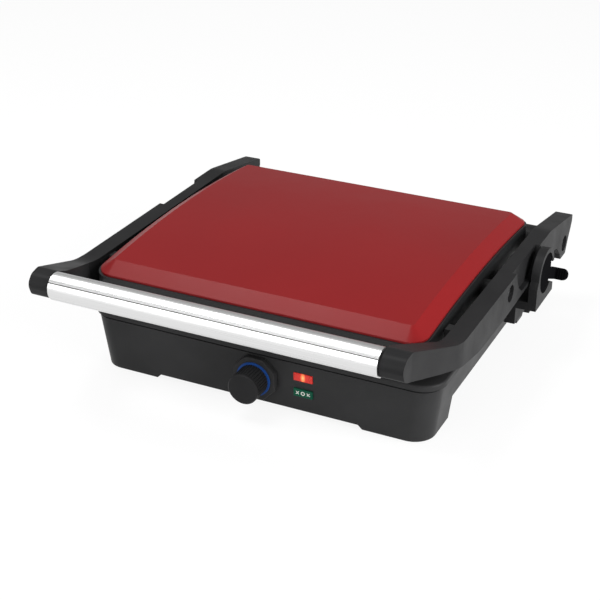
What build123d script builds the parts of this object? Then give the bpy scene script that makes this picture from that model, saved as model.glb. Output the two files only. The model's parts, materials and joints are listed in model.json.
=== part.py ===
"""Countertop contact grill with a floating hinged lid, built from its separate pieces.

Working frame, millimetres: X to the right across the grill, Y from the handle to the rear,
Z up from the table, X = 0 in the middle of the body and Y = 0 just behind the handle bar.
Every piece is moved at the end so that the origin is the middle of the underside.
"""
from build123d import *
from math import atan2, cos, degrees, pi, radians, sin
import os

# Overall sizes
body_half_width = 168.1
base_front = 43.0
base_rear = 328.0
base_rim_height = 52.0
side_draft = 6.6
front_draft = 2.5
base_corner_radius = 20.0
plastic_wall = 2.5
running_gap = 0.3
seat_gap = 0.05
turning_gap = 0.2

# Base floor and feet
floor_height = 24.0
front_floor_height = 5.0
front_bay_depth = 53.0
foot_half_spacing = 98.0
foot_slope = 4.0
foot_clearance = 1.2
rubber_foot_radius = 8.0
rubber_foot_height = 3.2
rubber_foot_x = body_half_width - 36.0
front_rubber_foot_y = 74.0
rear_rubber_foot_y = 316.0
rear_leg_front = 290.0
rear_leg_rear = 350.0
rear_leg_width = 27.0
bottom_opening_half_width = body_half_width - 73.0
bottom_opening_front = 125.0
bottom_opening_rear = 265.0
bottom_cover_thickness = 2.0
bottom_cover_lap = 12.0

# Main hinge of the two arms, at the rear corners
hinge_y = base_rear + 27.5
hinge_z = base_rim_height + 13.5
hinge_pin_radius = 4.0
hinge_eye_radius = 12.5
hinge_recess_radius = 8.0
hinge_head_radius = 7.0
screw_head_thickness = 4.0
head_recess_depth = 7.0
bush_radius = 9.0

# Base top frame and the two ribbed plates
frame_thickness = 7.6
frame_overhang = 2.5
frame_skirt = 6.0
frame_skirt_wall = 2.0
shadow_gap_height = 2.0
shadow_gap_inset = 1.3
plate_half_width = body_half_width - 19.6
plate_front = base_front + 17.5
plate_rear = base_rear - 32.5
plate_thickness = 4.0
plate_rim_width = 5.0
plate_corner_radius = 12.0
plate_side_gap = 0.7
rib_height = 3.0
rib_width = 3.2
rib_pitch = 9.0
rib_margin = 13.0
rib_stand = 2.0
plate_rim_height = 2.0
plate_ledge = 6.0
plate_gap = 6.0

# Heating elements, reflectors and their small parts
element_radius = 3.3
element_half_width = plate_half_width - 36.5
element_margin = 42.0
element_terminal_length = 30.0
strap_thickness = 0.8
reflector_thickness = 0.8
reflector_depth = 9.0
reflector_inset = 24.0
reflector_margin = 18.0
reflector_notch = 7.5
post_radius = 4.0
post_x = 70.0
screw_row_inset = 60.0
plate_screw_length = 6.5
screw_tip_room = 0.5
fuse_radius = 2.5
fuse_length = 28.0
fuse_clip_half = 3.2

# Lid
lid_half_width = plate_half_width + 10.5
lid_front = base_front - 9.0
lid_rear = base_rear - 7.0
lid_corner_radius = 18.0
lid_edge_height = base_rim_height + 47.0
lid_arch = 8.0
lid_rim_drop = 1.0
lid_boss_radius = 9.0
lid_boss_length = 15.0
cover_inset = 2.0
cover_thickness = 1.5
cover_lip_height = 2.0
cover_bevel_rise = 8.0
cover_bevel_width = 13.0
lid_pivot_y = base_rear - 148.0
lid_pivot_z = lid_edge_height - 10.0

# Arms and handle
lid_side_gap = 9.0
arm_width = 17.0
arm_inner = lid_half_width + lid_side_gap
arm_half_span = arm_inner + arm_width
arm_top = lid_edge_height + 2.4
arm_depths = [(hinge_y - 26.5, 30.4), (hinge_y - 47.5, 26.4), (lid_pivot_y - 17.0, 31.4), (100.0, 30.4),
              (52.0, 21.9), (17.6, 11.8), (-33.0, -5.1)]
post_bottom = base_rim_height
arm_wall = 2.6
liner_thickness = 2.0
liner_gap = 0.15
arm_kink_y = 51.0
stop_tab_y = 81.0
stop_tab_reach = 7.0
arm_slope_start = 300.0
tail_end_y = hinge_y + 23.9
tail_end_z = arm_top - 13.4
cap_outer_half = arm_half_span - 13.5
cap_inner_half = arm_half_span - 35.0
cap_top_y = -24.8
cap_top_z = arm_top + 28.1
bar_front_y = -42.7
bar_front_z = cap_top_z - 9.5
bar_bottom_y = -34.5
bar_bottom_z = cap_top_z - 22.7
bar_back_y = -17.5
bar_wall = 2.0
tie_rod_radius = 4.0
tie_rod_y = -29.0
tie_rod_z = cap_top_z - 11.0
tie_rod_grip = 9.0

# Side brackets with the release lever
bracket_front = 231.0
bracket_rear = 284.0
bracket_bottom = base_rim_height - 3.0
bracket_shelf = 8.0
bracket_block_bottom = base_rim_height - 20.0
bracket_block_outer = body_half_width + 7.9
bracket_screw_drop = 7.5
bracket_boss_radius = 4.2
bracket_boss_start = body_half_width - 9.0
bracket_wall_inset = 3.4
ear_thickness = 8.0
arm_side_gap = 2.0
ear_hub_y = bracket_front + 28.0
ear_hub_z = base_rim_height + 25.0
ear_radius = 24.0
dish_radius = 19.4
left_ear_drop = 11.0
left_ear_shrink = 6.0
dish_depth = 5.0
lever_disc_gap = 0.6
lever_thickness = 3.6
lever_shaft_radius = 4.0
shaft_tip = 1.6
retaining_ring_radius = 6.5
retaining_ring_thickness = 1.2
lever_tab_y = ear_hub_y + 38.0
lever_tab_z = ear_hub_z - 17.0
lever_tab_length = 11.0
lever_tab_height = 11.5
lever_tab_thickness = 4.0
lever_swing = 14.0
pocket_depth = 4.5
pocket_y = ear_hub_y - 29.0
pocket_z = arm_top + 6.6
pocket_radius = 35.0
pocket_bottom = arm_top - 25.4

# Front controls
dial_x = 2.0
dial_z = base_rim_height - 21.5
knob_radius = 14.4
knob_face_y = 16.0
knob_length = 20.0
knob_flutes = 36
flute_radius = 0.7
ring_thickness = 1.0
ring_radius = knob_radius + 1.8
bezel_apothem = 20.0
dial_shaft_radius = 3.0
knob_cap = 4.0
shaft_reach = 4.0
lamp_x = 47.0
red_lamp_z = base_rim_height - 12.5
green_lamp_z = red_lamp_z - 15.5
lamp_width = 18.0
lamp_height = 7.5
lamp_proud = 0.3
lamp_edge = 0.25
lamp_board_half = 14.0
lamp_flange = 2.0
lamp_board_gap = 12.0
lamp_board_thickness = 1.6
neon_radius = 2.6
neon_length = 9.5

# Cord gland in the rear wall
gland_x = 60.0
gland_z = floor_height + 11.0
gland_radius = 7.0
gland_bore_radius = 3.6

# Small fasteners
small_screw_radius = 1.6
small_head_radius = 3.2
small_head_thickness = 2.0

# Values worked out from the ones above
frame_bottom = base_rim_height + seat_gap
frame_top = frame_bottom + frame_thickness
plate_bottom = frame_top - plate_thickness - rib_height + rib_stand
lower_rib_top = plate_bottom + plate_thickness + rib_height
upper_rib_bottom = lower_rib_top + plate_gap
upper_plate_top = upper_rib_bottom + rib_height + plate_thickness
lid_bottom = upper_rib_bottom - lid_rim_drop
lid_ledge_bottom = upper_plate_top + seat_gap
lid_ledge_top = lid_ledge_bottom + plastic_wall
lower_reflector_bottom = plate_bottom - running_gap - reflector_depth
upper_reflector_top = upper_plate_top + running_gap + reflector_depth
wall_back = base_front + front_draft + plastic_wall
lid_center_y = (lid_front + lid_rear) / 2
ear_inner = arm_half_span + arm_side_gap
ear_outer = ear_inner + ear_thickness
lever_tab_reach = ear_outer + lever_tab_length
left_hub_z = ear_hub_z - left_ear_drop
pin_floor = arm_half_span - head_recess_depth
tower_outer = arm_inner - arm_side_gap
tower_inner = tower_outer - rear_leg_width + arm_side_gap
lever_angle = atan2(lever_tab_z - ear_hub_z, lever_tab_y - ear_hub_y)


def block(x0, x1, y0, y1, z0, z1):
    """Box between two corners."""
    middle = ((x0 + x1) / 2, (y0 + y1) / 2, (z0 + z1) / 2)
    return Pos(*middle) * Box(x1 - x0, y1 - y0, z1 - z0)


def rod_x(y, z, radius, x0, x1):
    """Round bar along X."""
    return Pos((x0 + x1) / 2, y, z) * Rot(0, 90, 0) * Cylinder(radius, abs(x1 - x0))


def rod_y(x, z, radius, y0, y1):
    """Round bar along Y."""
    return Pos(x, (y0 + y1) / 2, z) * Rot(90, 0, 0) * Cylinder(radius, abs(y1 - y0))


def rod_z(x, y, radius, z0, z1):
    """Round bar along Z."""
    return Pos(x, y, (z0 + z1) / 2) * Cylinder(radius, abs(z1 - z0))


def side_face(points, x=0.0):
    """Flat face in a plane of constant X from (y, z) points."""
    return make_face(Polyline(*[(x, y, z) for y, z in points], close=True))


def side_prism(points, x0, x1):
    """Prism along X from (y, z) points."""
    return extrude(side_face(points, x0), amount=x1 - x0, dir=(1, 0, 0))


def front_prism(points, y0, y1):
    """Prism along Y from (x, z) points."""
    outline = Polyline(*[(x, y0, z) for x, z in points], close=True)
    return extrude(make_face(outline), amount=y1 - y0, dir=(0, 1, 0))


def rounded_side_prism(points, radii, x0, x1):
    """Prism along X from (y, z) points, each corner rounded by its own radius."""
    face = side_face(points, x0)
    for (y, z), radius in zip(points, radii):
        if radius > 0:
            corner = face.vertices().sort_by_distance((x0, y, z))[0]
            face = fillet(corner, radius)
    return extrude(face, amount=x1 - x0, dir=(1, 0, 0))


def plan_prism(points, z0, z1):
    """Upright prism from (x, y) points."""
    outline = Polyline(*[(x, y, z0) for x, y in points], close=True)
    return extrude(make_face(outline), amount=z1 - z0, dir=(0, 0, 1))


def rounded_slab(half_width, front, rear, radius, z0, z1):
    """Upright slab with rounded corners."""
    outline = RectangleRounded(2 * half_width, rear - front, radius)
    return extrude(Pos(0, (front + rear) / 2, z0) * outline, amount=z1 - z0)


def tapered_tub(inset, z0, z1):
    """Solid between the narrow bottom outline and the wide top outline of the base."""
    def outline(z):
        share = 1 - z / base_rim_height
        half = body_half_width - inset - side_draft * share
        front = base_front + inset + front_draft * share
        rear = base_rear - inset - front_draft * share
        shape = RectangleRounded(2 * half, rear - front, base_corner_radius - inset)
        return Pos(0, (front + rear) / 2, z) * shape
    return loft([outline(z0), outline(z1)])


def arch_top(y, height):
    """Height of the lid's arch at a place along Y, over an edge height."""
    share = (y - lid_center_y) / (lid_rear - lid_center_y)
    return height + lid_arch * (1 - share * share)


def arched_slab(half_width, front, rear, radius, bottom, edge_height):
    """Slab with rounded corners, a flat bottom and an arched top."""
    low = (0, front - 1, arch_top(front - 1, edge_height))
    peak = (0, lid_center_y, edge_height + lid_arch)
    high = (0, rear + 1, arch_top(rear + 1, edge_height))
    arc = ThreePointArc(low, peak, high)
    sides = Polyline(high, (0, rear + 1, bottom), (0, front - 1, bottom), low)
    face = make_face([arc, sides])
    prism = extrude(face, amount=half_width + 1, dir=(1, 0, 0), both=True)
    return prism & rounded_slab(half_width, front, rear, radius, bottom - 1, edge_height + 2 * lid_arch)


def mirrored(shape):
    """The same piece on the other side of the grill."""
    return mirror(shape, Plane.YZ)


def rear_leg():
    """Rear foot and hinge tower on the right, as one moulded leg."""
    foot_top = floor_height + plastic_wall
    outline = [(rear_leg_front, foot_clearance), (rear_leg_rear, foot_clearance),
               (hinge_y + hinge_eye_radius, hinge_z - 18), (hinge_y + hinge_eye_radius, hinge_z),
               (hinge_y - hinge_eye_radius, hinge_z), (base_rear - 1, base_rim_height - 8),
               (base_rear - 6, foot_top), (rear_leg_front, foot_top)]
    leg = side_prism(outline, tower_inner, tower_outer)
    leg += rod_x(hinge_y, hinge_z, hinge_eye_radius, tower_inner, tower_outer)
    leg -= rod_x(hinge_y, hinge_z, hinge_pin_radius + seat_gap, tower_inner - 1, tower_outer + 1)
    split = base_rear - 0.6 * base_corner_radius
    front_part = block(tower_inner - 1, tower_outer + 1, 0, split, 0, base_rim_height)
    rear_part = block(tower_inner - 1, tower_outer + 1, split, rear_leg_rear + 40, 0, arm_top)
    return (leg & front_part & tapered_tub(0, 0, base_rim_height)) + (leg & rear_part)


def make_bottom_housing():
    """Tub with a stepped floor, four feet and two hinge towers."""
    tub = tapered_tub(0, foot_clearance, base_rim_height)
    bay_rear = base_front + front_bay_depth
    wide = body_half_width + 5
    tub -= block(-wide, wide, bay_rear, base_rear + 5, 0, floor_height)
    low_half = foot_half_spacing + foot_slope
    gap_outline = [(-low_half, foot_clearance), (-low_half, 0), (low_half, 0), (low_half, foot_clearance),
                   (foot_half_spacing, front_floor_height), (-foot_half_spacing, front_floor_height)]
    tub -= front_prism(gap_outline, 0, bay_rear)
    hollow = tapered_tub(plastic_wall, foot_clearance + plastic_wall, base_rim_height + 1)
    front_hollow = block(-wide, wide, 0, bay_rear - plastic_wall, front_floor_height + plastic_wall, arm_top)
    rear_hollow = block(-wide, wide, 0, base_rear, floor_height + plastic_wall, arm_top)
    tub -= hollow & (front_hollow + rear_hollow)
    leg = rear_leg()
    tub += leg
    tub += mirrored(leg)
    for x in (-rubber_foot_x, rubber_foot_x):
        for y in (front_rubber_foot_y, rear_rubber_foot_y):
            tub -= rod_z(x, y, rubber_foot_radius + seat_gap, 0, rubber_foot_height)
    tub -= block(-bottom_opening_half_width, bottom_opening_half_width, bottom_opening_front,
                 bottom_opening_rear, floor_height - 1, floor_height + plastic_wall + 1)
    for x, y in bottom_screw_places():
        tub -= rod_z(x, y, small_screw_radius + seat_gap, floor_height - 1, floor_height + plastic_wall + 1)
    tub -= rod_y(dial_x, dial_z, dial_shaft_radius + 1.0, 0, base_front + 10)
    for z in (red_lamp_z, green_lamp_z):
        half = lamp_width / 2 + seat_gap
        tall = lamp_height / 2 + seat_gap
        tub -= block(lamp_x - half, lamp_x + half, 0, base_front + 10, z - tall, z + tall)
    tub -= rod_y(gland_x, gland_z, gland_radius + seat_gap, base_rear - 12, base_rear + 5)
    for y, z in bracket_screw_places():
        for side in (1, -1):
            start = side * bracket_boss_start
            tub += rod_x(y, z, bracket_boss_radius, start, side * (body_half_width - bracket_wall_inset))
            tub -= rod_x(y, z, small_screw_radius + seat_gap, start, side * (body_half_width + 10))
    return tub


def bracket_screw_places():
    """Screws that hold a side bracket to the base, as (y, z)."""
    return [(y, bracket_bottom - bracket_screw_drop) for y in (bracket_front + 8, bracket_rear - 8)]


def bottom_screw_places():
    """Screws of the bottom cover, as (x, y)."""
    half = bottom_opening_half_width + bottom_cover_lap / 2
    return [(x, y) for x in (-half, half) for y in (bottom_opening_front + 10, bottom_opening_rear - 10)]


def make_bottom_cover():
    """Flat plate under the opening in the floor, with slots that let air in."""
    half = bottom_opening_half_width + bottom_cover_lap
    z1 = floor_height
    z0 = z1 - bottom_cover_thickness
    cover = rounded_slab(half, bottom_opening_front - bottom_cover_lap,
                         bottom_opening_rear + bottom_cover_lap, 8, z0, z1)
    for row in range(5):
        y = bottom_opening_front + 34 + 18 * row
        cover -= block(-50, 50, y - 2, y + 2, z0 - 1, z1 + 1)
    for x, y in bottom_screw_places():
        cover -= rod_z(x, y, small_screw_radius + seat_gap, z0 - 1, z1 + 1)
    return cover


def small_screw_z(x, y, seat, length, up=1):
    """Small screw with its head against the seat; up is 1 from below and -1 from above."""
    head = rod_z(x, y, small_head_radius, seat - up * small_head_thickness, seat)
    return head + rod_z(x, y, small_screw_radius, seat - up * 0.1, seat + up * length)


def make_plate_screws(ledge_seat, reflector_seat, up):
    """Screws of one plate: four through the ledge round it and four that hold its reflector."""
    screws = [small_screw_z(x, y, ledge_seat, plate_screw_length, up) for x, y in ledge_screw_places()]
    screws += [small_screw_z(x, y, reflector_seat, plate_screw_length, up) for x, y in post_places()]
    return screws


def make_bracket_screws():
    """Screws that hold the two side brackets, put in from inside the base."""
    reach = body_half_width + 1.0
    screws = []
    for y, z in bracket_screw_places():
        head = rod_x(y, z, small_head_radius, bracket_boss_start - small_head_thickness, bracket_boss_start)
        screw = head + rod_x(y, z, small_screw_radius, bracket_boss_start - 0.1, reach)
        screws += [screw, mirrored(screw)]
    return screws


def make_bottom_screws():
    """Screws of the bottom cover."""
    seat = floor_height - bottom_cover_thickness
    length = bottom_cover_thickness + plastic_wall + 4
    return [small_screw_z(x, y, seat, length) for x, y in bottom_screw_places()]


def make_rubber_feet():
    """Four rubber pads let into the moulded feet."""
    pads = []
    for x in (-rubber_foot_x, rubber_foot_x):
        for y in (front_rubber_foot_y, rear_rubber_foot_y):
            pads.append(rod_z(x, y, rubber_foot_radius, 0, rubber_foot_height))
    return pads


def make_top_frame():
    """Rim that closes the base round the lower plate."""
    frame = rounded_slab(body_half_width + frame_overhang, base_front - 1.5, base_rear + 1.5,
                         base_corner_radius + 2, frame_bottom, frame_top)
    frame = fillet(frame.edges().group_by(Axis.Z)[-1], 2.0)
    frame -= shadow_gap()
    gap = plate_side_gap
    frame -= rounded_slab(plate_half_width + gap, plate_front - gap, plate_rear + gap,
                          plate_corner_radius + gap, plate_bottom - seat_gap, frame_top + 1)
    frame -= plate_opening(frame_bottom - 1, frame_top + 1)
    for x, y in ledge_screw_places():
        frame -= rod_z(x, y, small_screw_radius + seat_gap, frame_bottom - 1, frame_top)
    skirt_bottom = frame_bottom - frame_skirt
    return frame + skirt_solid(0, skirt_bottom) - skirt_solid(frame_skirt_wall, skirt_bottom - 1)


def shadow_gap():
    """Recessed line between the base's rim and the top frame."""
    top = frame_bottom + shadow_gap_height
    inset = shadow_gap_inset
    outer = rounded_slab(body_half_width + 10, base_front - 10, base_rear + 10, base_corner_radius,
                         frame_bottom - 1, top)
    return outer - rounded_slab(body_half_width - inset, base_front + inset, base_rear - inset,
                                base_corner_radius - inset, frame_bottom - 2, top + 1)


def skirt_solid(inset, bottom):
    """Solid inside the base walls, up to the top frame; inset draws its sides further in."""
    w = plastic_wall + running_gap + inset
    upper = rounded_slab(body_half_width - w, base_front + w, base_rear - w, base_corner_radius - w,
                         base_rim_height, frame_bottom)
    return tapered_tub(w, bottom, base_rim_height) + upper


def plate_opening(z0, z1):
    """Opening inside the ledge that carries a plate."""
    return rounded_slab(plate_half_width - plate_ledge, plate_front + plate_ledge, plate_rear - plate_ledge,
                        plate_corner_radius - plate_ledge, z0, z1)


def ledge_screw_places():
    """Screws through the ledge round a plate, as (x, y)."""
    x = plate_half_width - plate_ledge / 2
    return [(side * x, y) for side in (-1, 1) for y in screw_rows()]


def post_places():
    """Screw posts on the back of a plate, as (x, y)."""
    return [(x, y) for x in (-post_x, post_x) for y in screw_rows()]


def screw_rows():
    """Places along Y of a plate's screws."""
    return plate_front + screw_row_inset, plate_rear - screw_row_inset


def make_plate(bottom, rib_side):
    """Ribbed plate with a raised rim and screw posts; rib_side is 1 for ribs on top, -1 for ribs below."""
    plate = rounded_slab(plate_half_width, plate_front, plate_rear, plate_corner_radius, bottom,
                         bottom + plate_thickness)
    face, back = (bottom + plate_thickness, bottom) if rib_side > 0 else (bottom, bottom + plate_thickness)
    low, high = sorted((face, face + rib_side * rib_height))
    rim_low, rim_high = sorted((face, face + rib_side * plate_rim_height))
    rim = rounded_slab(plate_half_width, plate_front, plate_rear, plate_corner_radius, rim_low, rim_high)
    w = plate_rim_width
    rim -= rounded_slab(plate_half_width - w, plate_front + w, plate_rear - w, plate_corner_radius - w,
                        rim_low - 1, rim_high + 1)
    pieces = [rim]
    count = int((plate_half_width - rib_margin) / rib_pitch)
    for index in range(-count, count + 1):
        x = index * rib_pitch
        pieces.append(block(x - rib_width / 2, x + rib_width / 2, plate_front + rib_margin,
                            plate_rear - rib_margin, low, high))
    post_end = back - rib_side * (running_gap + reflector_depth - reflector_thickness - seat_gap)
    for x, y in post_places():
        pieces.append(rod_z(x, y, post_radius, back, post_end))
    plate = plate.fuse(*pieces)
    hole_radius = small_screw_radius + seat_gap
    post_hole = plate_screw_length - reflector_thickness + screw_tip_room
    ledge_hole = plate_screw_length - plastic_wall + screw_tip_room
    for x, y in post_places():
        plate -= rod_z(x, y, hole_radius, post_end, post_end + rib_side * post_hole)
    for x, y in ledge_screw_places():
        plate -= rod_z(x, y, hole_radius, back, back + rib_side * ledge_hole)
    return plate


def make_element(z):
    """Tubular heating element bent to a U, with its two thinner cold ends."""
    front = plate_front + element_margin
    rear = plate_rear - element_margin
    half = element_half_width
    path = FilletPolyline((-half, front, z), (-half, rear, z), (half, rear, z), (half, front, z), radius=30)
    ring = Plane(origin=(-half, front, z), z_dir=(0, 1, 0)) * Circle(element_radius)
    tube = sweep(ring, path=path)
    return tube + [rod_y(x, z, element_radius * 0.55, front - element_terminal_length, front + 1)
                   for x in (-half, half)]


def make_reflector(open_edge, side):
    """Shallow steel tray behind an element; side is -1 below the lower plate, 1 above the upper."""
    half = element_half_width + reflector_margin
    front = plate_front + reflector_inset
    rear = plate_rear - reflector_inset
    corner = 10.0
    t = reflector_thickness
    closed = open_edge + side * reflector_depth
    z0, z1 = sorted((open_edge, closed))
    tray = rounded_slab(half, front, rear, corner, z0, z1)
    inner_z0, inner_z1 = sorted((open_edge - side, closed - side * t))
    tray -= rounded_slab(half - t, front + t, rear - t, corner - t, inner_z0, inner_z1)
    notch_z0, notch_z1 = sorted((open_edge - side, open_edge + side * reflector_notch))
    for x in (-element_half_width, element_half_width):
        tray -= block(x - element_radius - 1, x + element_radius + 1, front - 1, front + 1 + t,
                      notch_z0, notch_z1)
    for x, y in post_places():
        tray -= rod_z(x, y, small_screw_radius + seat_gap, z0 - 1, z1 + 1)
    return tray


def dial_y_stack():
    """Places along Y of the knob, its ring and the bezel."""
    knob_rear = knob_face_y + knob_length
    ring_rear = knob_rear + ring_thickness
    return knob_rear, ring_rear, ring_rear + running_gap


def make_knob():
    """Fluted knob bored for its shaft."""
    knob_rear, ring_rear, bezel_front = dial_y_stack()
    knob = rod_y(dial_x, dial_z, knob_radius, knob_face_y, knob_rear)
    knob = chamfer(knob.edges().group_by(Axis.Y)[0], 1.0)
    flutes = []
    for index in range(knob_flutes):
        turn = 2 * pi * index / knob_flutes
        x = dial_x + knob_radius * cos(turn)
        z = dial_z + knob_radius * sin(turn)
        flutes.append(rod_y(x, z, flute_radius, knob_face_y + 2.5, knob_rear + 1))
    knob = knob.cut(*flutes)
    return knob - rod_y(dial_x, dial_z, dial_shaft_radius + seat_gap, knob_face_y + knob_cap, knob_rear + 1)


def make_knob_ring():
    """Coloured ring at the back of the knob."""
    knob_rear, ring_rear, bezel_front = dial_y_stack()
    ring = rod_y(dial_x, dial_z, ring_radius, knob_rear, ring_rear)
    return ring - rod_y(dial_x, dial_z, dial_shaft_radius + seat_gap, knob_rear - 1, ring_rear + 1)


def make_bezel():
    """Eight-sided collar round the dial, fixed to the front wall."""
    knob_rear, ring_rear, bezel_front = dial_y_stack()
    outline = RegularPolygon(bezel_apothem, 8, major_radius=False, rotation=360 / 16)
    plane = Plane(origin=(dial_x, bezel_front, dial_z), x_dir=(1, 0, 0), z_dir=(0, 1, 0))
    bezel = extrude(plane * outline, amount=base_front + front_draft - bezel_front)
    bezel = fillet(bezel.edges().filter_by(Axis.Y), 5.0)
    bezel -= tapered_tub(-seat_gap, 0, base_rim_height)
    return bezel - rod_y(dial_x, dial_z, dial_shaft_radius + 1.0, bezel_front - 1, base_front + 5)


def make_dial_shaft():
    """Spindle from the thermostat to the knob."""
    front = knob_face_y + knob_cap + turning_gap
    return rod_y(dial_x, dial_z, dial_shaft_radius, front, thermostat_front() + shaft_reach)


def thermostat_front():
    """Front face of the thermostat, behind the front wall."""
    return wall_back + 1.0


def make_thermostat():
    """Thermostat body with its mounting neck and two terminals."""
    front = thermostat_front()
    body = block(dial_x - 15, dial_x + 15, front, front + 18, dial_z - 14, dial_z + 14)
    bore_end = front + shaft_reach + running_gap
    body -= rod_y(dial_x, dial_z, dial_shaft_radius + turning_gap, front - 1, bore_end)
    for x in (dial_x - 9, dial_x + 9):
        body += block(x - 3, x + 3, front + 17, front + 26, dial_z - 0.5, dial_z + 0.5)
    return body


def make_thermostat_bracket():
    """Bracket that holds the thermostat up from the floor."""
    front = thermostat_front()
    floor = front_floor_height + plastic_wall
    plate = block(dial_x - 20, dial_x + 20, front + 3, front + 24, floor, floor + 1.5)
    return plate + block(dial_x - 14, dial_x + 14, front + 18.05, front + 19.5, floor, dial_z - 2)


def make_lamp(z):
    """Rectangular lamp lens pushed through the front wall, with its flange inside."""
    def slice_of(grow, y0, y1):
        half_width = lamp_width / 2 + grow
        half_height = lamp_height / 2 + grow
        return block(lamp_x - half_width, lamp_x + half_width, y0, y1, z - half_height, z + half_height)
    lens = slice_of(0, base_front - lamp_proud, wall_back + 0.5)
    lens = fillet(lens.edges().group_by(Axis.Y)[0], lamp_edge)
    return lens + slice_of(lamp_flange, wall_back + seat_gap, wall_back + lamp_flange)


def make_lamp_board():
    """Small circuit board behind the two lenses."""
    y = wall_back + lamp_board_gap
    return block(lamp_x - lamp_board_half, lamp_x + lamp_board_half, y, y + lamp_board_thickness,
                 front_floor_height + plastic_wall, red_lamp_z + lamp_board_half / 2)


def make_neon_lamps():
    """Two neon bulbs on the board, one behind each lens."""
    y = wall_back + lamp_board_gap
    return [rod_y(lamp_x, z, neon_radius, y - neon_length, y) for z in (red_lamp_z, green_lamp_z)]


def make_terminal_block():
    """Terminal block on the floor near the gland."""
    z0 = floor_height + plastic_wall
    terminal = block(gland_x - 18, gland_x + 18, base_rear - 50, base_rear - 34, z0, z0 + 14)
    for x in (-12, 0, 12):
        terminal -= rod_z(gland_x + x, base_rear - 42, 2.2, z0 + 6, z0 + 15)
    return terminal


def make_gland():
    """Bush in the rear wall where the mains lead leaves."""
    rear = base_rear - front_draft * (1 - gland_z / base_rim_height)
    inner = rear - plastic_wall
    bush = rod_y(gland_x, gland_z, gland_radius, inner - 6, rear + 1)
    bush += rod_y(gland_x, gland_z, gland_radius + 2.5, rear + 0.6, rear + 5)
    bush += rod_y(gland_x, gland_z, gland_radius + 1.2, inner - 6, inner - 0.8)
    return bush - rod_y(gland_x, gland_z, gland_bore_radius, inner - 10, rear + 10)


def make_bracket(hub_z, radius, dish):
    """Side bracket: a shelf under the arm and an ear outside it, with its hub height, radius and dish."""
    wall_x = body_half_width - 1.5
    shelf_top = bracket_bottom + bracket_shelf
    shelf = block(wall_x, ear_outer, bracket_front, bracket_rear, bracket_bottom, shelf_top)
    ear = side_prism([(bracket_front, bracket_bottom), (bracket_rear, bracket_bottom),
                      (ear_hub_y + radius, hub_z), (ear_hub_y - radius, hub_z),
                      (bracket_front, hub_z - 6)], ear_inner, ear_outer)
    ear += rod_x(ear_hub_y, hub_z, radius, ear_inner, ear_outer)
    root = block(wall_x - bracket_wall_inset, bracket_block_outer, bracket_front, bracket_rear,
                 bracket_block_bottom, shelf_top)
    bracket = shelf + ear + root
    bracket -= tapered_tub(-running_gap, 1, base_rim_height)
    bracket -= rounded_slab(body_half_width + frame_overhang + running_gap, base_front - 2, base_rear + 2,
                            base_corner_radius + 2, frame_bottom - 1, frame_top + 1)
    bracket -= rod_x(ear_hub_y, hub_z, dish, ear_outer - dish_depth, ear_outer + 1)
    for y, z in bracket_screw_places():
        bracket -= rod_x(y, z, small_screw_radius + seat_gap, bracket_boss_start, body_half_width + 1.5)
    return bracket


def lever_slot():
    """Room that the release lever's arm sweeps through at the rear of its ear."""
    low = lever_angle - radians(3)
    high = lever_angle + radians(lever_swing + 3)
    reach = 70.0
    half = lever_tab_height / 2 + 0.6

    def edge_point(along, angle, side):
        return (ear_hub_y + along * cos(angle) - side * half * sin(angle),
                ear_hub_z + along * sin(angle) + side * half * cos(angle))
    points = [edge_point(0, low, -1), edge_point(reach, low, -1), edge_point(reach, high, 1),
              edge_point(0, high, 1)]
    return side_prism(points, ear_outer - dish_depth, ear_outer + 1)


def make_right_bracket():
    """Right bracket, opened for the release lever and its shaft."""
    bracket = make_bracket(ear_hub_z, ear_radius, dish_radius) - lever_slot()
    bore = lever_shaft_radius + turning_gap
    return bracket - rod_x(ear_hub_y, ear_hub_z, bore, ear_inner - 1, ear_outer + 1)


def make_left_bracket():
    """Left bracket, with a plain bore for its cap."""
    bracket = make_bracket(left_hub_z, ear_radius - left_ear_shrink, dish_radius - left_ear_shrink)
    bracket -= rod_x(ear_hub_y, left_hub_z, lever_shaft_radius + seat_gap, ear_inner - 1, ear_outer + 1)
    return mirrored(bracket)


def lever_disc(hub_z, dish):
    """Disc and shaft that sit in an ear's dish."""
    x0 = ear_outer - dish_depth + running_gap
    disc = rod_x(ear_hub_y, hub_z, dish - lever_disc_gap, x0, x0 + lever_thickness)
    disc = fillet(disc.edges().group_by(Axis.X)[-1], 1.2)
    return disc + rod_x(ear_hub_y, hub_z, lever_shaft_radius, ear_inner - shaft_tip, x0 + 1)


def make_release_lever():
    """Release lever: disc, arm and an outward thumb tab with grip ridges."""
    x0 = ear_outer - dish_depth + running_gap
    x1 = x0 + lever_thickness
    length = ((lever_tab_y - ear_hub_y) ** 2 + (lever_tab_z - ear_hub_z) ** 2) ** 0.5
    half = lever_tab_height / 2
    turn = Pos(0, ear_hub_y, ear_hub_z) * Rot(degrees(lever_angle), 0, 0)
    arm = block(x0, x1, 0, length, -half, half)
    tab_y0 = length - lever_tab_thickness / 2
    tab = block(x0, lever_tab_reach, tab_y0, tab_y0 + lever_tab_thickness, -half, half)
    tab = fillet(tab.edges().filter_by(Axis.Y).group_by(Axis.X)[-1], half - 0.4)
    for index in range(4):
        x = x1 + 2.2 + 2.4 * index
        tab += block(x, x + 1.0, tab_y0 - 0.5, tab_y0 + 0.2, -half + 1.6, half - 1.6)
    return lever_disc(ear_hub_z, dish_radius) + turn * (arm + tab)


def make_ear_cap():
    """Plain cap in the left ear."""
    return mirrored(lever_disc(left_hub_z, dish_radius - left_ear_shrink))


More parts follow.
